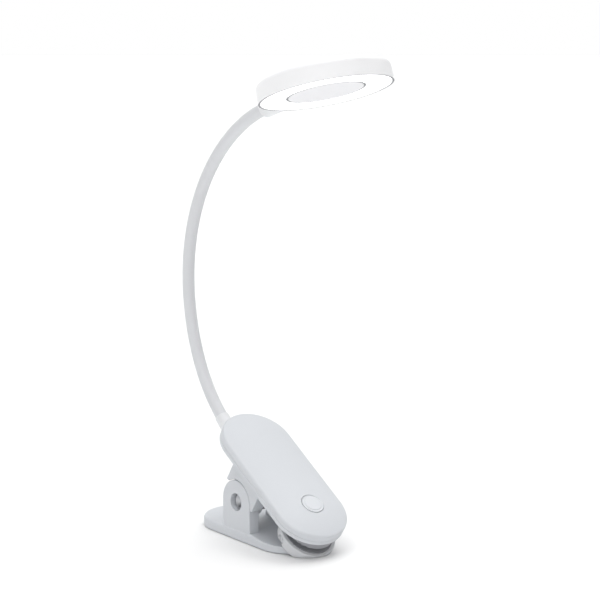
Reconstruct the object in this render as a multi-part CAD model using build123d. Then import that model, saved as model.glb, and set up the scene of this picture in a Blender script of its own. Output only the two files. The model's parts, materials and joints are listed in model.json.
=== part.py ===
from build123d import *

import os
from math import cos, radians, sin, sqrt

# Clip-on reading lamp: a spring clip that also stands on its own base, a bendable neck and a
# round ring-light head. Millimetres and degrees. +X runs from the clip's tail to its mouth, +Z is
# up, and the lamp is symmetric about Y = 0. The origin is on the surface that the base rests on,
# straight below the hinge pin.

# ---- clearances
run_gap = 0.06  # a pin in its bore, radial
part_gap = 0.3  # faces of pieces that move past each other
slip_gap = 0.05  # a tube pushed into a socket, radial
lid_gap = 0.15  # a lip inside the wall of the other shell

# ---- lower jaw: a pill-shaped plate with two ears
plate_half_width = 23.25
plate_rear = -52.5
plate_front = 54.1
plate_top = 7.64
plate_bottom = 0.4
plate_edge = 2.2
sheet_inset = 2.6
sheet_front = 43.0
sheet_thickness = 1.4
pin_height = 26.46
pin_radius = 6.12
pin_recess = 3.2
pin_end_radius = 5.1
pin_end_length = 2.4
pin_dish_radius = 4.3
pin_dish_depth = 1.5
ear_radius = 15.24
ear_outer = 22.45
ear_thickness = 8.25
bowl_radius = 41.6
bowl_depth = 3.2

# ---- tilting pad cup at the plate's front
cup_x = 50.9
cup_z = 12.8
cup_tilt = 37.6
cup_radius = 19.6
cup_height = 8.8
cup_floor_clear = 0.35  # under the cup's lowest edge
cup_nose_up = 6.0
cup_nose_down = 0.8
cup_pin_back = 3.0
cup_pin_depth = 5.4
cup_pin_radius = 1.2
cup_hole_radius = 3.4
cup_hole_depth = 2.6
lug_half_width = 5.0
lug_wall = 1.5
pad_radius = 17.1
pad_recess_depth = 1.6
lower_pad_thickness = 2.0
groove_pitch = 3.0
groove_width = 0.8
groove_depth = 0.5

# ---- upper jaw casing, built level in its own frame and then tilted about the hinge pin
case_tilt = 32.5
case_rise = 23.9  # from the pin's axis to the casing's underside
case_rear = -50.3
case_front = 69.0
case_half_width = 26.25
case_split = 3.4
case_shoulder = 7.73
case_crown = 4.76
case_edge = 1.8
case_wall = 2.0
foot_edge = 1.0
parting_bevel = 0.4
lip_height = 1.2
lip_thickness = 1.0

# ---- pedestal under the casing, which carries the hinge
pedestal_half_length = 16.4
pedestal_depth = 17.0
ear_clearance = 0.8
knuckle_radius = 11.5
knuckle_inner = 7.6

# ---- neck stem, which leaves the pedestal's rear wall
stem_drop = 16.8  # from the casing's underside to the stem's axis, at the pedestal's rear face
stem_lift = 9.5  # how much steeper than the casing the stem stands
stem_length = 49.6
stem_radius = 5.0
stem_tail_radius = 4.7
stem_wall = 4.0  # thickness of the pedestal's rear wall
stem_flange_radius = 7.4
stem_flange = 2.0
nut_across_flats = 14.0
nut_thickness = 2.4
socket_depth = 14.0  # how far the neck goes into its sockets

# ---- bendable neck: arcs between pivots, from the stem to the head
neck_radius = 4.3
neck_bore = 3.15
core_bore = 1.7
core_skin = 0.05
lead_radius = 0.6
lead_spacing = 0.75
link_length = 34.0
first_arc = 15.8
last_arc = 16.0
neck_bends = (7.9, 17.6, 13.5, 15.0, 15.0, 15.0, 14.5, 14.5, 8.0)
knuckle_ratio = 1.155  # ball radius over neck radius: lets a link turn 60 degrees with no step

# ---- lamp head, built face down in its own frame
head_radius = 44.0
head_height = 12.6
head_draft = 0.7
head_crown = 1.6
head_edge = 3.6
head_wall = 1.8
rim_width = 2.2
trim_width = 1.3
trim_depth = 0.8
face_inset = 0.4
ring_inner = 26.0
ring_thickness = 1.6
disc_gap = 0.2
disc_groove_depth = 0.2
disc_thickness = 1.3
hub_wall = 1.4
hub_plate_level = 3.6
hub_plate = 1.6
head_screw_circle = 18.0
led_board_level = 9.2
led_board_thickness = 1.0
led_count = 30
led_circle = 33.0
reflector_thickness = 1.2
socket_length = 20.0  # from the housing's wall to the socket's mouth
socket_level = 7.0
socket_radius = 6.2
socket_inset = 7.0  # from the housing's wall to the inner end of the socket's tail
tail_radius = 3.6
tail_bore = 2.2
clip_half = 5.4

# ---- inside the casing
battery_length = 50.0
battery_half_width = 16.0
battery_thickness = 5.0
battery_front = 22.0
rib_height = 1.4
rib_width = 1.6
board_rear = 26.0
board_front = 57.0
board_half_width = 15.0
board_level = 4.2
board_thickness = 1.2
post_radius = 2.0
switch_size = 6.0
switch_height = 2.0
plunger_radius = 1.7
plunger_height = 0.5
charge_board_length = 15.0
charge_board_half_width = 8.0
port_width = 9.0
port_height = 3.2
port_length = 7.4
port_setback = 0.9
port_margin = 0.3
light_pipe_radius = 1.2
light_pipe_side = 9.5
screw_radius = 1.1
screw_head_radius = 2.2
screw_head_height = 1.6
screw_length = 4.8
boss_radius = 3.1
screw_web = 1.4
lead_turn = 2.2  # from the nut's face to the corner where the leads turn up
lead_bend = 1.2
lead_hole_radius = 1.9
rear_screw = (-30.0, 18.6)
front_screw = (36.0, 19.6)

# ---- power button
button_radius = 7.7
button_travel = 0.55
button_proud = 0.25
button_groove = 6.6  # middle of the shallow ring in the cap
button_groove_half_width = 1.05
button_groove_depth = 0.5
button_flange = 1.1
button_flange_thickness = 0.65

# ---- clip spring
wire_radius = 1.0
coil_clearance = 0.6
coil_turns = 4
coil_pitch = 2.3


def save(name, shape):
    shape.label = name
    export_step(shape, f"parts/{name}.step")


def pill(half_width, rear, front, low, high):
    """Flat pill-shaped block from one height to another."""
    outline = SlotOverall(front - rear, 2 * half_width)
    return Pos((rear + front) / 2, 0, low) * extrude(outline, high - low)


def crowned_pill(half, rear, front, low, shoulder, crown, edge):
    """Pill-shaped block whose top rises in an even crown from a rounded shoulder."""
    dome = (half**2 + crown**2) / (2 * crown)
    mid = shoulder + crown - dome + sqrt(dome**2 - (half / 2) ** 2)
    sides = Polyline((0, shoulder + crown), (0, low), (half, low), (half, shoulder))
    arc = ThreePointArc((half, shoulder), (half / 2, mid), (0, shoulder + crown))
    section = make_face(Plane.YZ * (sides + arc))
    corner = section.vertices().sort_by_distance((0, half, shoulder))[0]
    section = fillet(corner, edge)
    other = mirror(section, Plane.XZ)
    tail = Pos(rear + half, 0, 0) * revolve(section, Axis.Z, 180)
    nose = Pos(front - half, 0, 0) * revolve(other, Axis.Z, 180)
    middle = extrude(section + other, front - rear - 2 * half, dir=(1, 0, 0))
    return tail + Pos(rear + half, 0, 0) * middle + nose


def y_rod(radius, reach, x=0.0, z=0.0):
    """Round bar along Y, reaching as far to each side."""
    return Pos(x, 0, z) * Rot(X=90) * Cylinder(radius, 2 * reach)


def block(x, y, z):
    """Box between two values on each axis."""
    size = [high - low for low, high in (x, y, z)]
    centre = [(high + low) / 2 for low, high in (x, y, z)]
    return Pos(*centre) * Box(*size)


def both_sides(shape):
    return shape + mirror(shape, Plane.XZ)


case_frame = Location((0, 0, pin_height), (0, case_tilt, 0)) * Pos(0, 0, case_rise)
cup_frame = Location((cup_x, 0, cup_z), (0, cup_tilt, 0))
cup_pin_place = cup_frame * Pos(-cup_pin_back, 0, -cup_pin_depth)
cup_pin_x = cup_pin_place.position.X
cup_pin_z = cup_pin_place.position.Z

# The stem's own frame has +Z along the stem, away from the casing, and its origin on the
# pedestal's rear face. It is written in the casing's frame.
stem_frame = Pos(-pedestal_half_length, 0, -stem_drop) * Rot(Y=stem_lift - 90)
knuckle_ball = neck_radius * knuckle_ratio
ear_inner = ear_outer - ear_thickness
knuckle_outer = ear_inner - part_gap
bore_radius = pin_radius + run_gap
socket_reach = head_radius + socket_length  # both measured from the head's centre
socket_tail = head_radius - socket_inset


# ---------------------------------------------------------------- lower jaw
def turned_about_cup_pin(shape, angle):
    """The shape after the cup has turned nose down by an angle."""
    to_pin = Pos(cup_pin_x, 0, cup_pin_z)
    return to_pin * Rot(Y=angle) * to_pin.inverse() * shape


def cup_block(spare=0.0):
    """Outside of the pad cup, grown all round by a spare."""
    height = cup_height + spare
    body = Pos(0, 0, -height / 2) * Cylinder(cup_radius + spare, height)
    rim = body.edges().filter_by(GeomType.CIRCLE).sort_by(Axis.Z)[-1]
    body = fillet(rim, 0.6)
    low_edge = body.edges().filter_by(GeomType.CIRCLE).sort_by(Axis.Z)[0]
    return cup_frame * fillet(low_edge, 3.0)


def cup_lug(spare=0.0):
    """Lug on the plate that the cup tilts on."""
    radius = cup_pin_radius + lug_wall + spare
    across = lug_half_width + spare
    web = block((cup_pin_x - radius, cup_pin_x + radius), (-across, across), (3.0, cup_pin_z))
    return web + y_rod(radius, across, cup_pin_x, cup_pin_z)


def lower_jaw_plate():
    plate = pill(plate_half_width, plate_rear, plate_front, plate_bottom, plate_top)
    plate = fillet(plate.edges().group_by(Axis.Z)[-1], plate_edge)
    plate = fillet(plate.edges().group_by(Axis.Z)[0], 0.8)
    ball = (bowl_radius**2 + bowl_depth**2) / (2 * bowl_depth)
    plate -= Pos(cup_x, 0, plate_top - bowl_depth + ball) * Sphere(ball)
    plate += cup_lug()
    for angle in (-cup_nose_up, 0.0, cup_nose_down):
        plate -= turned_about_cup_pin(cup_block(0.5), angle) - cup_lug()
    ear = Pos(0, 0, pin_height) * Rot(X=90) * Cylinder(ear_radius, ear_thickness)
    ear += block((-ear_radius, ear_radius), (-ear_thickness / 2, ear_thickness / 2), (2.5, pin_height))
    rims = ear.edges().filter_by(lambda e: e.center().Z > 3.0 and e.length > ear_thickness + 1)
    ear = fillet(rims, 0.7)
    plate += both_sides(Pos(0, ear_inner + ear_thickness / 2, 0) * ear)
    plate -= y_rod(bore_radius, ear_outer + 1, 0, pin_height)
    plate -= y_rod(cup_pin_radius + run_gap, cup_radius, cup_pin_x, cup_pin_z)
    return plate - base_sheet()


def base_sheet():
    """Anti-slip sheet let into the plate's underside, standing a little proud of it."""
    half = plate_half_width - sheet_inset
    return pill(half, plate_rear + sheet_inset, sheet_front, 0, sheet_thickness)


def hinge_pin():
    reach = ear_outer - pin_recess
    pin = y_rod(pin_radius, reach - pin_end_length, 0, pin_height)
    pin += y_rod(pin_end_radius, reach, 0, pin_height)
    ball = (pin_dish_radius**2 + pin_dish_depth**2) / (2 * pin_dish_depth)
    dish = Pos(0, reach + ball - pin_dish_depth, pin_height) * Sphere(ball)
    rims = pin.edges().filter_by(GeomType.CIRCLE).sort_by(Axis.Y)
    pin = chamfer([rims[0], rims[-1]], 0.4)
    return pin - both_sides(dish)


def clip_spring():
    """Torsion spring round the pin: one leg on the plate, the other under the casing."""
    mean = pin_radius + coil_clearance + wire_radius
    turns = coil_turns + case_tilt / 360
    reach = turns * coil_pitch / 2
    path = Helix(coil_pitch, 2 * reach, mean)
    start = Plane(origin=path @ 0, z_dir=path % 0)
    coil = sweep(start * Circle(wire_radius), path, is_frenet=True)
    coil = Pos(0, -reach, pin_height) * Rot(X=-90) * Rot(Z=180) * coil
    low_leg = pin_height - plate_top - 0.1
    spring = coil + Pos(-mean, -reach, pin_height - low_leg / 2) * Cylinder(wire_radius, low_leg)
    high_leg = case_rise - 0.1
    lean = Location((0, reach, pin_height), (0, case_tilt, 0))
    spring += lean * Pos(-mean, 0, high_leg / 2) * Cylinder(wire_radius, high_leg)
    elbow = Sphere(wire_radius)
    spring += Pos(-mean, -reach, pin_height) * elbow
    return spring + lean * Pos(-mean, 0, 0) * elbow


# ---------------------------------------------------------------- tilting cup and jaw pads
def grooved_disc(radius, low, high, groove_level):
    """Rubber disc with grooves across one face."""
    disc = Pos(0, 0, (low + high) / 2) * Cylinder(radius, high - low)
    count = int((radius - 3) // groove_pitch)
    for step in range(-count, count + 1):
        x = step * groove_pitch
        disc -= Pos(x, 0, groove_level) * Box(groove_width, 2 * radius + 2, 2 * groove_depth)
    return disc


def pad_cup():
    cup = cup_block()
    recess = Pos(0, 0, 1 - pad_recess_depth) * Cylinder(pad_radius + 0.2, 2)
    cup -= cup_frame * recess
    for angle in (cup_nose_up, 0.0, -cup_nose_down):
        cup -= turned_about_cup_pin(cup_lug(part_gap), angle)
    cup -= y_rod(cup_pin_radius + run_gap, cup_radius + 1, cup_pin_x, cup_pin_z)
    face = sqrt(cup_radius**2 - cup_pin_back**2) - cup_hole_depth
    hole = Pos(cup_pin_x, face + 2, cup_pin_z) * Rot(X=90) * Cylinder(cup_hole_radius, 4)
    cup -= both_sides(hole)
    return cup & block((0, 100), (-40, 40), (cup_floor_clear, 60))


def cup_pin():
    reach = sqrt(cup_radius**2 - cup_pin_back**2) - cup_hole_depth - 0.2
    return y_rod(cup_pin_radius, reach, cup_pin_x, cup_pin_z)


def lower_grip_pad():
    low = -pad_recess_depth
    high = low + lower_pad_thickness
    return cup_frame * grooved_disc(pad_radius, low, high, high)


# ---------------------------------------------------------------- upper jaw casing
def cup_centre_in_case():
    """Where the cup's middle lies in the casing's frame: along the casing, and below it."""
    place = case_frame.inverse() * cup_frame
    return place.position.X, place.position.Z


def upper_grip_pad():
    along, level = cup_centre_in_case()
    gap_at_centre = 2.2
    bottom = level + lower_pad_thickness - pad_recess_depth + gap_at_centre
    pad = grooved_disc(pad_radius - 0.3, bottom, 0, bottom)
    return case_frame * Pos(along, 0, 0) * pad


def ceiling(spare=0.0):
    """Hollow of the casing, above the floor."""
    dome = (case_half_width**2 + case_crown**2) / (2 * case_crown) - case_wall
    half = case_half_width - case_wall - spare
    top = case_shoulder + case_crown - case_wall - spare
    crown = dome - sqrt(dome**2 - half**2)
    rear = case_rear + case_wall + spare
    front = case_front - case_wall - spare
    return crowned_pill(half, rear, front, case_wall, top - crown, crown, case_edge - 1)


def screw_places():
    for x, y in (rear_screw, front_screw):
        yield x, y
        yield x, -y


def port_cut(margin):
    """Opening for the charging socket, through the casing's rear wall."""
    low = case_wall + board_thickness - margin
    high = case_wall + board_thickness + port_height + margin
    half = port_width / 2 + margin
    cut = block((case_rear - 2, case_rear + port_length), (-half, half), (low, high))
    return fillet(cut.edges().filter_by(Axis.X), 1.2)


def light_pipe(margin=0.0):
    place = Pos(case_rear + 4, light_pipe_side, case_wall + board_thickness + port_height / 2)
    return place * Rot(Y=90) * Cylinder(light_pipe_radius + margin, 8)


def bottom_shell():
    shell = pill(case_half_width, case_rear, case_front, 0, case_split)
    shell = fillet(shell.edges().group_by(Axis.Z)[0], foot_edge)
    shell = chamfer(shell.edges().group_by(Axis.Z)[-1], parting_bevel)
    inner = case_half_width - case_wall
    rear, front = case_rear + case_wall, case_front - case_wall
    shell -= pill(inner, rear, front, case_wall, case_split + 1)
    lip_out, lip_in = lid_gap, lid_gap + lip_thickness
    lip_top = case_split + lip_height
    lip = pill(inner - lip_out, rear + lip_out, front - lip_out, case_wall, lip_top)
    lip -= pill(inner - lip_in, rear + lip_in, front - lip_in, case_wall, lip_top + 1)
    shell += lip
    shell += pedestal()
    for x in (battery_front - 6, battery_front - battery_length / 2, battery_front - battery_length + 6):
        rib = block((x, x + rib_width), (2.5, battery_half_width), (case_wall, case_wall + rib_height))
        shell += both_sides(rib)
    post_height = board_level - case_wall
    for x in (board_rear + 3, board_front - 3):
        post = Pos(x, board_half_width - 3, case_wall + post_height / 2)
        shell += both_sides(post * Cylinder(post_radius, post_height))
    for x, y in screw_places():
        head = screw_head_height + 1
        top = head + screw_web
        shell += Pos(x, y, top / 2) * Cylinder(boss_radius, top)
        shell -= Pos(x, y, head / 2) * Cylinder(screw_head_radius + 0.2, head)
        shell -= Pos(x, y, 0) * Cylinder(screw_radius + 0.2, 2 * top + 1)
    shell -= Pos(lead_corner().X, 0, 0) * Cylinder(lead_hole_radius, 2 * case_wall)
    return case_frame * (shell - port_cut(port_margin) - light_pipe(0.1))


def pedestal():
    """Block under the casing: cheeks over the ears, knuckles on the pin, wall for the neck."""
    length, deep = pedestal_half_length, pedestal_depth
    cheek = block((-length, length), (knuckle_outer, ear_outer), (-deep, case_wall / 2))
    cheek -= y_rod(ear_radius + ear_clearance, ear_outer + 1, 0, -case_rise)
    side = block((-knuckle_radius, knuckle_radius), (knuckle_inner, knuckle_outer), (-case_rise, 1))
    barrel = Rot(X=90) * Cylinder(knuckle_radius, knuckle_outer - knuckle_inner)
    side += Pos(0, (knuckle_outer + knuckle_inner) / 2, -case_rise) * barrel
    body = both_sides(cheek + side)
    foot = stem_flange_radius + 0.8
    wall = stem_frame * block((-foot, 40), (-knuckle_outer, knuckle_outer), (-stem_wall, 0))
    body += wall & block((-60, 0), (-30, 30), (-60, case_wall / 2))
    body -= stem_frame * Cylinder(stem_tail_radius + slip_gap, 40)
    return body - y_rod(bore_radius, ear_outer, 0, -case_rise)


def top_cover():
    low = case_split
    shape = (case_half_width, case_rear, case_front, 0, case_shoulder, case_crown, case_edge)
    outside = crowned_pill(*shape) & block((-99, 99), (-99, 99), (low, 99))
    outside = chamfer(outside.edges().group_by(Axis.Z)[0], parting_bevel)
    cover = outside - ceiling()
    for x, y in screw_places():
        foot = screw_head_height + 1 + screw_web + 0.05
        cover += Pos(x, y, foot + 10) * Cylinder(boss_radius, 20) & outside
        cover -= Pos(x, y, foot + screw_length / 2 - 0.5) * Cylinder(screw_radius + 0.03, screw_length)
    cover -= Pos(case_front - case_half_width, 0, 12) * Cylinder(button_radius + part_gap, 10)
    return case_frame * (cover - port_cut(port_margin) - light_pipe(0.1))


def case_screws():
    screws = Part()
    seat = screw_head_height + 1
    for x, y in screw_places():
        head = Pos(x, y, seat - screw_head_height / 2) * Cylinder(screw_head_radius, screw_head_height)
        slot = Pos(x, y, seat - screw_head_height) * (Box(2.6, 0.6, 1.2) + Box(0.6, 2.6, 1.2))
        shank = Pos(x, y, seat + screw_length / 2) * Cylinder(screw_radius, screw_length)
        screws += head - slot + shank
    return case_frame * screws


def battery_cell():
    low = case_wall + rib_height
    rear, half = battery_front - battery_length, battery_half_width
    cell = block((rear, battery_front), (-half, half), (low, low + battery_thickness))
    return case_frame * fillet(cell.edges().filter_by(Axis.X), 1.6)


def main_board():
    half, top = board_half_width, board_level + board_thickness
    return case_frame * block((board_rear, board_front), (-half, half), (board_level, top))


def tact_switch():
    base = board_level + board_thickness
    top = base + switch_height
    body = Pos(0, 0, (base + top) / 2) * Box(switch_size, switch_size, switch_height)
    plunger = Pos(0, 0, top + plunger_height / 2) * Cylinder(plunger_radius, plunger_height)
    return case_frame * Pos(case_front - case_half_width, 0, 0) * (body + plunger)


def charge_board():
    rear = case_rear + case_wall + port_setback
    half = charge_board_half_width
    low, high = case_wall, case_wall + board_thickness
    inset = case_wall + lid_gap + lip_thickness + 0.2
    inner = pill(case_half_width - inset, case_rear + inset, case_front - inset, low, high)
    board = block((rear, rear + charge_board_length), (-half, half), (low, high))
    return case_frame * (board & inner)


def charge_socket():
    low = case_wall + board_thickness
    rear = case_rear + port_setback
    half = port_width / 2
    shell = block((rear, rear + port_length), (-half, half), (low, low + port_height))
    shell = fillet(shell.edges().filter_by(Axis.X), 1.1)
    mouth = block((rear - 1, rear + 5.5), (-half + 0.4, half - 0.4), (low + 0.4, low + port_height - 0.4))
    shell -= fillet(mouth.edges().filter_by(Axis.X), 0.9)
    mid = low + port_height / 2
    return case_frame * (shell + block((rear + 0.6, rear + 6), (-3.2, 3.2), (mid - 0.35, mid + 0.35)))


# ---------------------------------------------------------------- power button
def power_button():
    apex = case_shoulder + case_crown + button_proud
    stem_low = board_level + board_thickness + switch_height + plunger_height + button_travel + 0.1
    flange_low = stem_low + 0.4
    cap = Pos(0, 0, (apex + flange_low) / 2) * Cylinder(button_radius, apex - flange_low)
    cap = fillet(cap.edges().filter_by(GeomType.CIRCLE).sort_by(Axis.Z)[-1], 0.5)
    wide, deep = button_groove_half_width, button_groove_depth
    round_tool = (wide**2 + deep**2) / (2 * deep)
    cap -= Pos(0, 0, apex + round_tool - deep) * Torus(button_groove, round_tool)
    flange_mid = flange_low + button_flange_thickness / 2
    cap += Pos(0, 0, flange_mid) * Cylinder(button_radius + button_flange, button_flange_thickness)
    cap += Pos(0, 0, (stem_low + flange_low) / 2) * Cylinder(2.0, flange_low - stem_low)
    return case_frame * Pos(case_front - case_half_width, 0, 0) * cap


# ---------------------------------------------------------------- neck
def neck_stem():
    outer = Pos(0, 0, stem_length / 2) * Cylinder(stem_radius, stem_length)
    top_edge = outer.edges().filter_by(GeomType.CIRCLE).sort_by(Axis.Z)[-1]
    outer = chamfer(top_edge, 0.3)
    outer += Pos(0, 0, stem_flange / 2) * Cylinder(stem_flange_radius, stem_flange)
    tail = stem_wall + nut_thickness
    outer += Pos(0, 0, -tail / 2) * Cylinder(stem_tail_radius, tail)
    outer -= Pos(0, 0, stem_length) * Cylinder(neck_radius + slip_gap, 2 * socket_depth)
    return case_frame * stem_frame * (outer - Cylinder(3.2, 4 * stem_length))


def neck_nut():
    nut = extrude(RegularPolygon(nut_across_flats / 2, 6, major_radius=False), nut_thickness)
    nut = Rot(Z=30) * nut - Cylinder(stem_tail_radius + slip_gap, 10)
    flat_to_side = 0 if abs(nut.bounding_box().size.Y - nut_across_flats) < 0.1 else 30
    return case_frame * stem_frame * Pos(0, 0, -stem_wall - nut_thickness) * Rot(Z=flat_to_side) * nut


class NeckArc:
    """One arc of the neck's centre line: where it starts, which way, and where it ends."""

    def __init__(self, x, z, heading, length, bend):
        self.x, self.z, self.heading, self.bend = x, z, heading, bend
        radius = length / radians(bend)
        a, b = radians(heading), radians(heading - bend)
        self.centre = (x + radius * sin(a), z - radius * cos(a))
        self.end = (self.centre[0] - radius * sin(b), self.centre[1] + radius * cos(b))
        self.end_heading = heading - bend

    def frame(self, at_end):
        """Frame with +Z along the neck, at the arc's start or its end."""
        x, z = self.end if at_end else (self.x, self.z)
        heading = self.end_heading if at_end else self.heading
        return Location((x, 0, z), (0, 90 - heading, 0))


def neck_arcs():
    seam = case_frame * stem_frame * Pos(0, 0, stem_length)
    x, z = seam.position.X, seam.position.Z
    heading = 180 - case_tilt - stem_lift
    arcs = []
    for number, bend in enumerate(neck_bends):
        length = link_length
        if number == 0:
            length = first_arc
        if number == len(neck_bends) - 1:
            length = last_arc
        arcs.append(NeckArc(x, z, heading, length, bend))
        x, z = arcs[-1].end
        heading = arcs[-1].end_heading
    return arcs


def neck_piece(arcs, number, section):
    """A section carried along one arc, with a cup at its start and a ball at its end."""
    arc = arcs[number]
    axis = Axis((arc.centre[0], 0, arc.centre[1]), (0, 1, 0))
    piece = revolve(arc.frame(False) * section, axis, arc.bend)
    if number == 0:
        piece += arc.frame(False) * extrude(section, -socket_depth)
    else:
        piece -= arc.frame(False) * Sphere(knuckle_ball + part_gap)
    if number == len(arcs) - 1:
        piece += arc.frame(True) * extrude(section, socket_depth)
    else:
        ball = extrude(section, knuckle_ball + 1) & Sphere(knuckle_ball)
        piece += arc.frame(True) * ball
    return piece


def lead_pair():
    return Pos(0, lead_spacing) * Circle(lead_radius) + Pos(0, -lead_spacing) * Circle(lead_radius)


def lead_corner():
    """Where the leads turn up, just inside the stem's nut."""
    return (stem_frame * Pos(0, 0, -stem_wall - nut_thickness - lead_turn)).position


def casing_leads():
    """The two leads from the neck down the stem, through the floor and along to the board."""
    start = stem_frame * Pos(0, 0, stem_length - socket_depth)
    level = case_wall + rib_height / 2
    points = [start.position, lead_corner()]
    points.append(Vector(lead_corner().X, 0, level))
    points.append(Vector(board_rear - 0.5, 0, level))
    path = FilletPolyline(*points, radius=lead_bend)
    first = Plane(origin=path @ 0, x_dir=(0, 1, 0), z_dir=path % 0)
    wire = sweep(first * Circle(lead_radius), path)
    return case_frame * both_sides(Pos(0, lead_spacing, 0) * wire)


# ---------------------------------------------------------------- lamp head
def ring(outer, inner, low, high):
    return Pos(0, 0, (low + high) / 2) * (Cylinder(outer, high - low) - Cylinder(inner, 2 * (high - low)))


def disc(radius, low, high):
    return Pos(0, 0, (low + high) / 2) * Cylinder(radius, high - low)


def head_solid(inset=0.0, low=0.0):
    """Solid of revolution in the shape of the housing, or of its hollow."""
    radius, top = head_radius - inset, head_height - inset
    upper = radius - head_draft
    dome = (upper**2 + head_crown**2) / (2 * head_crown)
    mid = top + head_crown - dome + sqrt(dome**2 - (upper / 2) ** 2)
    sides = Polyline((0, top + head_crown), (0, low), (radius, low), (upper, top))
    arc = ThreePointArc((upper, top), (upper / 2, mid), (0, top + head_crown))
    section = make_face(Plane.XZ * (sides + arc))
    corner = section.vertices().sort_by_distance((upper, 0, top))[0]
    return revolve(fillet(corner, head_edge - inset), Axis.Z)


def head_screw_places():
    for number in range(3):
        yield Rot(Z=60 + 120 * number) * Pos(head_screw_circle, 0, 0)


def socket_along(radius, start, end):
    """Round bar along the socket's axis, between two distances from the head's centre."""
    place = Pos(-(start + end) / 2, 0, socket_level)
    return place * Rot(Y=90) * Cylinder(radius, abs(end - start))


def head_housing():
    housing = head_solid() - head_solid(head_wall, -1)
    housing -= disc(head_radius - rim_width, -1, face_inset + ring_thickness + 0.4)
    housing -= ring(head_radius - 0.3, head_radius - 0.3 - trim_width, -1, trim_depth)
    housing -= socket_along(tail_radius + slip_gap, socket_tail - 2, head_radius + 16)
    outside = head_solid()
    for place in head_screw_places():
        boss = place * disc(boss_radius, hub_plate_level + hub_plate + 0.05, head_height + 1)
        housing += boss & outside
        housing -= place * disc(screw_radius + 0.03, 0, head_screw_tip() + 0.2)
    return housing


def head_screw_tip():
    return hub_plate_level + screw_length


def rim_trim():
    """Thin grey band let into the housing's rim, round the light ring."""
    outer = head_radius - 0.3
    return ring(outer, outer - trim_width, 0.05, trim_depth)


def diffuser_ring():
    outer = head_radius - rim_width - 0.1
    return ring(outer, ring_inner, face_inset, face_inset + ring_thickness)


def head_hub():
    """Wall that stands inside the light ring, with a plate that three screws pull up."""
    outer = ring_inner - disc_gap
    hub = ring(outer, outer - hub_wall, face_inset + disc_groove_depth, led_board_level)
    hub += disc(outer - hub_wall + 0.2, hub_plate_level, hub_plate_level + hub_plate)
    for place in head_screw_places():
        hub -= place * disc(screw_radius + 0.2, hub_plate_level - 1, led_board_level)
    return hub


def centre_disc():
    """Cap that hides the head's screws, with a locating ring on its back."""
    outer = ring_inner - disc_gap - hub_wall - 0.1
    cap = disc(outer, face_inset - 0.1, face_inset + disc_thickness)
    lowest = cap.edges().filter_by(GeomType.CIRCLE).sort_by(Axis.Z)[0]
    cap = fillet(lowest, 0.4)
    return cap + ring(outer, outer - 1.6, face_inset + disc_thickness, hub_plate_level)


def led_board():
    outer = head_radius - head_wall - 1.2
    inner = ring_inner - disc_gap - hub_wall - 0.6
    board = ring(outer, inner, led_board_level, led_board_level + led_board_thickness)
    half = clip_half + 0.6
    return board - block((-head_radius - 6, -socket_tail + 0.6), (-half, half), (0, 20))


def led_chips():
    chip = Pos(led_circle, 0, led_board_level - 0.4) * Box(2.8, 3.5, 0.8)
    chips = Part()
    for number in range(led_count):
        chips += Rot(Z=360 * (number + 0.5) / led_count) * chip
    return chips


def reflector_ring():
    outer = head_radius - head_wall - 0.9
    wall = ring(outer, outer - reflector_thickness, face_inset + ring_thickness, led_board_level)
    return wall - socket_along(tail_radius + 0.2, socket_tail - 2, head_radius + 16)


def head_socket():
    """Collar that the neck is clamped in, with a thinner tail through the housing's wall."""
    collar = socket_along(socket_radius, head_radius - 6, socket_reach) - head_solid()
    rim = collar.edges().filter_by(GeomType.CIRCLE).sort_by(Axis.X)[0]
    collar = chamfer(rim, 0.5)
    collar += socket_along(tail_radius, socket_tail, head_radius + 1)
    collar -= socket_along(neck_radius + slip_gap, socket_reach - socket_depth, socket_reach + 1)
    return collar - socket_along(tail_bore, socket_tail - 10, socket_reach)


def socket_clip():
    """Flat plate that holds the socket's tail inside the housing."""
    plate = block((-socket_tail - 2.6, -socket_tail - 1.2), (-clip_half, clip_half), (2.6, 10.2))
    return plate - socket_along(tail_radius + slip_gap, socket_tail - 7, socket_tail + 13)


def head_leads():
    """The two leads from the neck's end through the socket to the light board."""
    level = led_board_level - lead_radius
    points = [(-socket_reach + socket_depth, 0, socket_level), (-socket_tail + 1.4, 0, socket_level)]
    points.append((-socket_tail + 2.4, 0, level))
    points.append((-led_circle + 2.0, 0, level))
    path = FilletPolyline(*points, radius=lead_bend)
    first = Plane(origin=path @ 0, x_dir=(0, 1, 0), z_dir=path % 0)
    return both_sides(Pos(0, lead_spacing, 0) * sweep(first * Circle(lead_radius), path))


def head_screws():
    screws = Part()
    for place in head_screw_places():
        head = disc(screw_head_radius, hub_plate_level - screw_head_height, hub_plate_level)
        screws += place * (head + disc(screw_radius, hub_plate_level - 0.5, head_screw_tip()))
    return screws


# ---------------------------------------------------------------- write every piece
os.makedirs("parts", exist_ok=True)

save("lower_jaw_plate", lower_jaw_plate())
save("base_grip_sheet", base_sheet())
save("hinge_pin", hinge_pin())
save("clip_spring", clip_spring())
save("cup_pin", cup_pin())
save("pad_cup", pad_cup())
save("lower_grip_pad", lower_grip_pad())
save("bottom_shell", bottom_shell())
save("top_cover", top_cover())
save("upper_grip_pad", upper_grip_pad())
save("case_screws", case_screws())
save("battery_cell", battery_cell())
save("main_board", main_board())
save("tact_switch", tact_switch())
save("charge_board", charge_board())
save("charge_socket", charge_socket())
inside_wall = pill(case_half_width - 0.1, case_rear + 0.1, case_front, 0, 20)
save("charge_light_pipe", case_frame * (light_pipe() & inside_wall))
save("power_button", power_button())
save("neck_stem", neck_stem())
save("neck_nut", neck_nut())
save("casing_leads", casing_leads())

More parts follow.
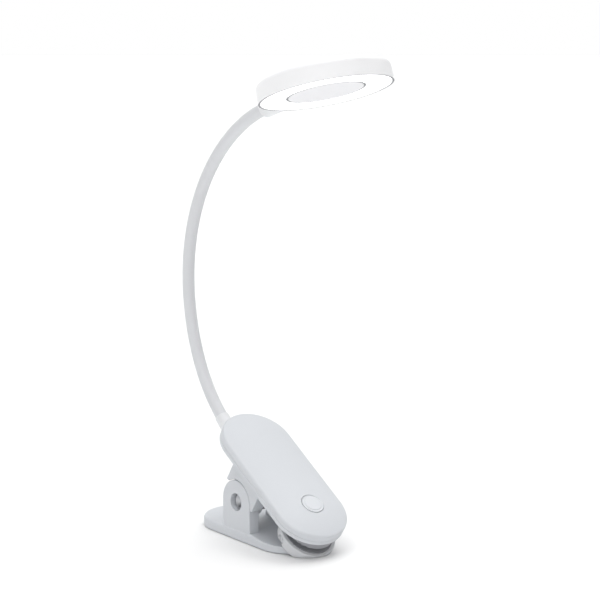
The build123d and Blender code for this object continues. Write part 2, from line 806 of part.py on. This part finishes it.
arcs = neck_arcs()
sleeve_section = Circle(neck_radius) - Circle(neck_bore)
core_section = Circle(neck_bore - core_skin) - Circle(core_bore)
for number in range(len(arcs)):
    save(f"neck_sleeve_{number}", neck_piece(arcs, number, sleeve_section))
    save(f"neck_core_{number}", neck_piece(arcs, number, core_section))
    save(f"neck_leads_{number}", neck_piece(arcs, number, lead_pair()))

mouth = arcs[-1].frame(True)
head_frame = mouth * Rot(Y=-90) * Pos(socket_reach, 0, -socket_level)
save("head_housing", head_frame * head_housing())
save("rim_trim", head_frame * rim_trim())
save("diffuser_ring", head_frame * diffuser_ring())
save("head_hub", head_frame * head_hub())
save("centre_disc", head_frame * centre_disc())
save("led_board", head_frame * led_board())
save("led_chips", head_frame * led_chips())
save("reflector_ring", head_frame * reflector_ring())
save("head_socket", head_frame * head_socket())
save("socket_clip", head_frame * socket_clip())
save("head_leads", head_frame * head_leads())
save("head_screws", head_frame * head_screws())

for a in arcs:
    print("neck pivot:", round(a.end[0], 4), round(a.end[1], 4), round(a.end_heading, 2))
print("cup pin:", round(cup_pin_x, 4), round(cup_pin_z, 4))
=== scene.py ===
import json
import math

import bpy
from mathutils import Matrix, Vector


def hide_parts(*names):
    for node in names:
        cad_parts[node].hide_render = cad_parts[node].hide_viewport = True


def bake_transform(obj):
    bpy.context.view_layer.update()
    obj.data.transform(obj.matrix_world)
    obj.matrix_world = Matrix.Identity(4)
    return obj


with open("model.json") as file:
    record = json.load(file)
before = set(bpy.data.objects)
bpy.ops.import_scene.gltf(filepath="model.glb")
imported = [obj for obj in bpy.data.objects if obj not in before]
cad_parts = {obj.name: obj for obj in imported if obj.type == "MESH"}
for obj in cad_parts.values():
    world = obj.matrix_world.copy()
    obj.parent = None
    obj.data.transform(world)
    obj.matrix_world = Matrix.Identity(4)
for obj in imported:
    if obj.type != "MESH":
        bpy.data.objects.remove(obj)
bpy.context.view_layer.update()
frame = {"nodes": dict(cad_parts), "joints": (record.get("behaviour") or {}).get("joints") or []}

# ---- Camera
# The lamp is seen from its near side and front, a little above the clip. A long lens from just
# over a metre away keeps the clip and the head in nearly the same scale.
bpy.ops.object.select_all(action="DESELECT")
viewpoint = Vector((0.8923, -0.6750, 0.3456))
aim = Vector((0.0420, 0.0, 0.16896))
bpy.ops.object.camera_add(location=viewpoint)
camera = bpy.context.object
camera.name = "camera"
camera.rotation_mode = "QUATERNION"
camera.rotation_quaternion = (aim - viewpoint).to_track_quat("-Z", "Y")
camera.data.sensor_width = 36.0
camera.data.lens = 100.6
camera.data.clip_start = 0.05
camera.data.clip_end = 20.0
bpy.context.scene.camera = camera

# ---- Lower jaw
# The lower jaw is one moulding in white plastic: a pill-shaped plate with two ears for the hinge
# pin and a shallow scoop behind the pad cup. Its faces carry the fine, even grain of a sparked
# mould, with no paint.


def noise(nodes, links, scale, detail=3.0, mapping=None):
    """Noise texture on the piece's own coordinates, in grains per metre."""
    texture = nodes.new("ShaderNodeTexNoise")
    texture.inputs["Scale"].default_value = scale
    texture.inputs["Detail"].default_value = detail
    place = nodes.new("ShaderNodeTexCoord").outputs["Object"]
    if mapping is not None:
        stretch = nodes.new("ShaderNodeMapping")
        stretch.inputs["Scale"].default_value = mapping
        links.new(place, stretch.inputs["Vector"])
        place = stretch.outputs["Vector"]
    links.new(place, texture.inputs["Vector"])
    return texture.outputs["Fac"]


def between(nodes, links, source, low, high):
    """A noise value spread between two numbers."""
    spread = nodes.new("ShaderNodeMapRange")
    spread.inputs["From Min"].default_value = 0.3
    spread.inputs["From Max"].default_value = 0.7
    spread.inputs["To Min"].default_value = low
    spread.inputs["To Max"].default_value = high
    links.new(source, spread.inputs["Value"])
    return spread.outputs["Result"]


def tinted(nodes, links, source, colour, change):
    """The colour, made lighter and darker by a share as the source goes up and down."""
    mix = nodes.new("ShaderNodeMix")
    mix.data_type = "RGBA"
    mix.inputs["A"].default_value = [c * (1 - change) for c in colour] + [1]
    mix.inputs["B"].default_value = [min(1, c * (1 + change)) for c in colour] + [1]
    links.new(source, mix.inputs["Factor"])
    return mix.outputs["Result"]


def finish_material(
    name,
    colour,
    roughness,
    grain=2600.0,
    relief=0.00003,
    relief_strength=0.25,
    change=0.015,
    metallic=0.0,
    stretch=None,
    **sockets,
):
    """Material with its own grain, faint unevenness of colour and varying gloss."""
    material = bpy.data.materials.new(name)
    material.use_nodes = True
    nodes, links = material.node_tree.nodes, material.node_tree.links
    shader = nodes["Principled BSDF"]
    shader.inputs["Metallic"].default_value = metallic
    for socket, value in sockets.items():
        shader.inputs[socket.replace("_", " ")].default_value = value
    broad = noise(nodes, links, 45.0, 2.0)
    fine = noise(nodes, links, grain, 2.0, stretch)
    links.new(tinted(nodes, links, broad, colour, change), shader.inputs["Base Color"])
    gloss = between(nodes, links, broad, roughness * 0.9, roughness * 1.1)
    links.new(gloss, shader.inputs["Roughness"])
    bump = nodes.new("ShaderNodeBump")
    bump.inputs["Strength"].default_value = relief_strength
    bump.inputs["Distance"].default_value = relief
    links.new(fine, bump.inputs["Height"])
    links.new(bump.outputs["Normal"], shader.inputs["Normal"])
    return material


def dress(material, *names):
    """Gives CAD nodes a finish in place of the plain one they come with."""
    for name in names:
        mesh = frame["nodes"][name].data
        mesh.materials.clear()
        mesh.materials.append(material)


shell_white = finish_material("shell_white", (0.62, 0.64, 0.67), 0.5)
dress(shell_white, "lower_jaw_plate")

# The sheet under the plate is thin die-cut rubber, glued into a shallow recess so that the lamp
# doesn't slide. Only its edge shows. Its dark grey is partly painted shade: it stands in for the
# shadow line along the foot of the plate.
sheet_rubber_painted_shade = finish_material("sheet_rubber_painted_shade", (0.36, 0.36, 0.38), 0.75, grain=1800.0)
dress(sheet_rubber_painted_shade, "base_grip_sheet")

# The hinge pin is turned steel with dished, turned-down ends. It sits a few millimetres inside
# the ears, so a dark ring shows round each end.
pin_satin = finish_material("pin_satin", (0.50, 0.51, 0.53), 0.38, grain=1200.0, metallic=1.0)
dress(pin_satin, "hinge_pin")

# ---- Clip spring
# The spring is a torsion coil of drawn steel wire round the hinge pin. One leg presses on the
# plate and the other under the casing, so it winds up as the clip is opened.
wire_steel = finish_material(
    "wire_steel",
    (0.52, 0.52, 0.53),
    0.3,
    grain=900.0,
    metallic=1.0,
    stretch=(1.0, 1.0, 6.0),
)


def own_copy(name, node):
    """A separate piece with a CAD node's shape, its loose triangles merged."""
    source = frame["nodes"][node]
    piece = bpy.data.objects.new(name, source.data.copy())
    bpy.context.scene.collection.objects.link(piece)
    bpy.ops.object.select_all(action="DESELECT")
    piece.select_set(True)
    bpy.context.view_layer.objects.active = piece
    bpy.ops.object.mode_set(mode="EDIT")
    bpy.ops.mesh.select_all(action="SELECT")
    bpy.ops.mesh.remove_doubles(threshold=0.000002)
    bpy.ops.mesh.normals_make_consistent(inside=False)
    bpy.ops.object.mode_set(mode="OBJECT")
    bpy.ops.object.shade_smooth_by_angle(angle=math.radians(40))
    return piece


def put_finish(piece, material):
    piece.data.materials.clear()
    piece.data.materials.append(material)


spring = own_copy("torsion_spring", "clip_spring")
put_finish(spring, wire_steel)
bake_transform(spring)
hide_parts("clip_spring")

# ---- Pad cup
# The cup is a round white moulding that rocks on a steel pin through the plate's small lug, so
# its pad lies flat on whatever is gripped. The pad is soft grey rubber with grooves across it.
cup_white = finish_material("cup_white", (0.66, 0.67, 0.69), 0.42)
pin_steel = finish_material("pin_steel", (0.55, 0.55, 0.56), 0.3, grain=900.0, metallic=1.0)
pad_rubber = finish_material(
    "pad_rubber", (0.33, 0.335, 0.36), 0.62, grain=1500.0, relief=0.00005, relief_strength=0.4
)
dress(cup_white, "pad_cup")
dress(pin_steel, "cup_pin")
dress(pad_rubber, "lower_grip_pad", "upper_grip_pad")

# ---- Casing
# The casing is two white shells that meet at a fine parting line: a shallow lower one with the
# hinge pedestal under it, and a crowned cover. Four screws come up from below into the cover.
dress(shell_white, "bottom_shell", "top_cover")
screw_steel = finish_material("screw_steel", (0.50, 0.50, 0.51), 0.35, grain=700.0, metallic=1.0)
dress(screw_steel, "case_screws", "head_screws", "neck_nut", "socket_clip")

# Inside lie a foil-wrapped cell, two green circuit boards, a black push switch and the charging
# socket, a folded steel shell that shows in the casing's tail beside a clear rod for the charge
# light.
foil_grey = finish_material(
    "foil_grey", (0.60, 0.62, 0.65), 0.38, grain=300.0, metallic=0.8, relief=0.0001
)
board_green = finish_material("board_green", (0.03, 0.20, 0.09), 0.32, grain=500.0, change=0.06)
switch_black = finish_material("switch_black", (0.03, 0.03, 0.03), 0.4)
rod_clear = finish_material(
    "rod_clear", (0.92, 0.92, 0.92), 0.12, grain=400.0, Transmission_Weight=0.8, IOR=1.49
)
dress(foil_grey, "battery_cell")
dress(board_green, "main_board", "charge_board")
dress(switch_black, "tact_switch")
dress(pin_steel, "charge_socket")
dress(rod_clear, "charge_light_pipe")

# ---- Power button
# The button is a round cap in the casing's nose, flush but for a shallow ring round its middle.
button_white = finish_material("button_white", (0.66, 0.68, 0.71), 0.42)
dress(button_white, "power_button")

# ---- Neck stem
# A short white tube is bolted through the pedestal's rear wall and carries the neck past the
# casing's tail. It is the same plastic as the socket on the head.
stem_white = finish_material("stem_white", (0.76, 0.77, 0.785), 0.45)
dress(stem_white, "neck_stem", "head_socket")

# ---- Bendable neck
# The neck is a smooth silicone sleeve over a segmented steel hose, with two leads down the
# middle. The sleeve is one tube in the real lamp. Here it is built in lengths, each curving round
# one bend, and the lengths meet halfway between the bends.
neck_bend_turns = (7.9, 17.6, 13.5, 15.0, 15.0, 15.0, 14.5, 14.5, 8.0)
neck_arc_lengths = (0.0158,) + 7 * (0.034,) + (0.016,)
neck_start_heading = 138.0
sleeve_radius = 0.0043
sleeve_bore = 0.00315
hose_radius = 0.0031
hose_bore = 0.0017
lead_radius = 0.0006
lead_spacing = 0.00075
grip_length = 0.012  # how far the neck's ends go into the stem and the socket
ring_spacing = 0.0017  # between the rings of faces along the neck
end_tolerance = 0.00002  # joint places are rounded, so an end ring is found within this


def heading_vector(heading):
    return Vector((math.cos(math.radians(heading)), 0, math.sin(math.radians(heading))))


def left_of(heading):
    return heading_vector(heading - 90)


class Arc:
    """One length of the neck's centre line between two bends."""

    def __init__(self, start, heading, length, turn):
        self.start, self.heading, self.length, self.turn = start, heading, length, turn
        self.radius = length / math.radians(turn)
        self.centre = start + left_of(heading) * self.radius

    def heading_at(self, share):
        return self.heading - share * self.turn

    def point_at(self, share):
        return self.centre - left_of(self.heading_at(share)) * self.radius


joints = {joint["name"]: joint for joint in frame["joints"]}
bends = [Vector(joints[f"neck_bend_{number}"]["pos_m"]) for number in range(1, 9)]
first_heading = neck_start_heading - neck_bend_turns[0]
first_radius = neck_arc_lengths[0] / math.radians(neck_bend_turns[0])
first_centre = bends[0] + left_of(first_heading) * first_radius
neck_start = first_centre - left_of(neck_start_heading) * first_radius
arcs = [Arc(neck_start, neck_start_heading, neck_arc_lengths[0], neck_bend_turns[0])]
for number in range(1, 9):
    heading = arcs[-1].heading_at(1)
    arcs.append(Arc(bends[number - 1], heading, neck_arc_lengths[number], neck_bend_turns[number]))


def select_end_ring(piece, point, heading):
    """Selects the faces that close the tube at a point, ready to be drawn on."""
    bpy.ops.mesh.select_all(action="DESELECT")
    bpy.ops.object.mode_set(mode="OBJECT")
    along = heading_vector(heading)
    for polygon in piece.data.polygons:
        reach = max(abs((piece.data.vertices[v].co - point).dot(along)) for v in polygon.vertices)
        polygon.select = reach < end_tolerance
    bpy.ops.object.mode_set(mode="EDIT")
    bpy.ops.mesh.select_mode(type="FACE")


def draw_straight(piece, point, heading, length):
    select_end_ring(piece, point, heading)
    move = heading_vector(heading) * length
    bpy.ops.mesh.extrude_region_move(TRANSFORM_OT_translate={"value": move})


def draw_round(piece, arc, start, end):
    """Carries the tube's end along part of an arc."""
    select_end_ring(piece, arc.point_at(start), arc.heading_at(start))
    turn = math.radians((end - start) * arc.turn)
    steps = max(2, round(arc.length * (end - start) / ring_spacing))
    bpy.ops.mesh.spin(steps=steps, angle=-turn, center=arc.centre, axis=(0, 1, 0))


def tube_section(name, point, heading, radius, bore, sides, offset=0.0):
    """Flat ring, or disc if it has no bore, square to the neck at a point."""
    bpy.ops.object.select_all(action="DESELECT")
    across = Vector((0, offset, 0))
    turn = (0, math.radians(90 - heading), 0)
    fill = "NOTHING" if bore else "NGON"
    bpy.ops.mesh.primitive_circle_add(
        vertices=sides, radius=radius, fill_type=fill, location=point + across, rotation=turn
    )
    piece = bpy.context.object
    piece.name = name
    bpy.ops.object.transform_apply(location=True, rotation=True, scale=True)
    bpy.ops.object.mode_set(mode="EDIT")
    if bore:
        bpy.ops.mesh.primitive_circle_add(
            vertices=sides, radius=bore, location=point + across, rotation=turn
        )
        bpy.ops.mesh.select_all(action="SELECT")
        bpy.ops.mesh.bridge_edge_loops()
    bpy.ops.mesh.select_mode(type="FACE")
    return piece


def close_tube(piece, angle=35):
    """Leaves edit mode with the faces outwards and the walls smooth."""
    bpy.ops.mesh.select_all(action="SELECT")
    bpy.ops.mesh.remove_doubles(threshold=0.0000005)
    bpy.ops.mesh.normals_make_consistent(inside=False)
    bpy.ops.object.mode_set(mode="OBJECT")
    bpy.ops.object.shade_smooth_by_angle(angle=math.radians(angle))


def neck_length(name, number, radius, bore, sides, offset=0.0):
    """The tube round one bend, from halfway along one arc, or the neck's end, to the next."""
    before, after = arcs[number - 1], arcs[number]
    if number == 1:
        point = before.start - heading_vector(before.heading) * grip_length
        piece = tube_section(name, point, before.heading, radius, bore, sides, offset)
        draw_straight(piece, point, before.heading, grip_length)
        draw_round(piece, before, 0, 1)
    else:
        point = before.point_at(0.5)
        piece = tube_section(name, point, before.heading_at(0.5), radius, bore, sides, offset)
        draw_round(piece, before, 0.5, 1)
    if number == 8:
        draw_round(piece, after, 0, 1)
        draw_straight(piece, after.point_at(1), after.heading_at(1), grip_length)
    else:
        draw_round(piece, after, 0, 0.5)
    close_tube(piece)
    return piece


def bend_with_neck(piece):
    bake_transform(piece)


neck_silicone = finish_material(
    "neck_silicone", (0.66, 0.67, 0.69), 0.45, grain=1800.0, relief=0.00002
)
hose_steel = finish_material("hose_steel", (0.45, 0.45, 0.46), 0.35, grain=900.0, metallic=1.0)
lead_red = finish_material("lead_red", (0.55, 0.04, 0.03), 0.4, grain=1500.0)

for number in range(1, 9):
    covered = [number] if number > 1 else [0, 1]
    sleeve = neck_length(f"sleeve_{number}", number, sleeve_radius, sleeve_bore, 56)
    put_finish(sleeve, neck_silicone)
    bend_with_neck(sleeve)
    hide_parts(*[f"neck_sleeve_{k}" for k in covered])
    hose = neck_length(f"hose_{number}", number, hose_radius, hose_bore, 32)
    put_finish(hose, hose_steel)
    bend_with_neck(hose)
    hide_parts(*[f"neck_core_{k}" for k in covered])
    for side, offset in (("near", -lead_spacing), ("far", lead_spacing)):
        lead = neck_length(f"lead_{side}_{number}", number, lead_radius, 0, 12, offset)
        put_finish(lead, lead_red)
        bend_with_neck(lead)
        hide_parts(*[f"neck_leads_{k}" for k in covered])
dress(lead_red, "casing_leads", "head_leads")
dress(neck_silicone, *[f"neck_sleeve_{k}" for k in range(9)])
dress(hose_steel, *[f"neck_core_{k}" for k in range(9)])
dress(lead_red, *[f"neck_leads_{k}" for k in range(9)])

# ---- Head
# The head is a flat round housing in white plastic. A frosted ring in its face spreads the light
# of thirty chips on a ring-shaped board, and a plain disc closes the middle over the screws.
# The housing's white is painted lighter than the casing's white plastic. This is painted light,
# standing in for the glow of the head's own light on it.
head_white_painted_glow = finish_material("head_white_painted_glow", (0.91, 0.91, 0.92), 0.4)
disc_grey = finish_material("disc_grey", (0.80, 0.80, 0.82), 0.5)
# The rim trim's dark grey is painted shade. It stands in for the shaded line of the down-facing
# rim round the glowing ring.
trim_painted_shade_grey = finish_material("trim_painted_shade_grey", (0.24, 0.245, 0.26), 0.5)
hub_grey = finish_material("hub_grey", (0.26, 0.27, 0.28), 0.5)
board_white = finish_material("board_white", (0.86, 0.86, 0.84), 0.4, grain=500.0)
chip_yellow = finish_material("chip_yellow", (0.90, 0.74, 0.22), 0.3, grain=1500.0)
reflector_white = finish_material("reflector_white", (0.90, 0.90, 0.90), 0.18, grain=800.0)
ring_frosted = finish_material(
    "ring_frosted",
    (0.96, 0.96, 0.96),
    0.5,
    grain=3000.0,
    Emission_Color=(1.0, 1.0, 1.0, 1.0),
    Emission_Strength=1.0,
)
dress(head_white_painted_glow, "head_housing")
dress(disc_grey, "centre_disc")
dress(hub_grey, "head_hub")
dress(trim_painted_shade_grey, "rim_trim")
dress(board_white, "led_board")
dress(chip_yellow, "led_chips")
dress(reflector_white, "reflector_ring")
dress(ring_frosted, "diffuser_ring")

# ---- Studio
# A plain white table runs on to the horizon under wide, soft lights, as in a product studio. Each
# light is broad enough to leave no hard shadow edge, and together they come from all round.
bpy.ops.object.select_all(action="DESELECT")
table_size = 240.0  # large enough to reach the horizon
bpy.ops.mesh.primitive_plane_add(size=table_size, location=(0, 0, 0))
table_top = bpy.context.object
table_top.name = "table_top"
paper_white = finish_material("paper_white", (0.90, 0.90, 0.90), 0.8, grain=800.0, change=0.0)
put_finish(table_top, paper_white)


def soft_light(name, azimuth, elevation, strength, spread=60.0):
    """Broad distant light. Azimuth 0 is the lamp's near side, and 90 its front."""
    a, e = math.radians(azimuth), math.radians(elevation)
    toward = Vector((math.sin(a) * math.cos(e), -math.cos(a) * math.cos(e), math.sin(e)))
    bpy.ops.object.light_add(type="SUN", location=toward * 3)
    light = bpy.context.object
    light.name = name
    light.data.energy = strength * math.pi
    light.data.angle = math.radians(spread)
    light.rotation_mode = "QUATERNION"
    light.rotation_quaternion = (-toward).to_track_quat("-Z", "Y")


soft_light("overhead", 0, 88, 0.52)
soft_light("camera_side", 45, 50, 0.26)
soft_light("far_side", 180, 50, 0.34)
soft_light("low_front", 45, 20, 0.08)
soft_light("low_near", 0, 20, 0.12)
soft_light("low_tail", 270, 20, 0.20)
soft_light("low_back", 225, 20, 0.15)

room = bpy.data.worlds.new("studio")
room.use_nodes = True
room_nodes, room_links = room.node_tree.nodes, room.node_tree.links
direction = room_nodes.new("ShaderNodeTexCoord").outputs["Generated"]
split = room_nodes.new("ShaderNodeSeparateXYZ")
height = room_nodes.new("ShaderNodeMapRange")
height.inputs["From Min"].default_value = 0.03
height.inputs["From Max"].default_value = 0.10
height.inputs["To Min"].default_value = 1.0
height.inputs["To Max"].default_value = 0.05
room_links.new(direction, split.inputs["Vector"])
room_links.new(split.outputs["Z"], height.inputs["Value"])
room_links.new(height.outputs["Result"], room_nodes["Background"].inputs["Strength"])
room_nodes["Background"].inputs["Color"].default_value = (1.0, 1.0, 1.0, 1.0)
bpy.context.scene.world = room
bpy.context.scene.view_settings.view_transform = "Standard"
bpy.context.scene.view_settings.look = "None"
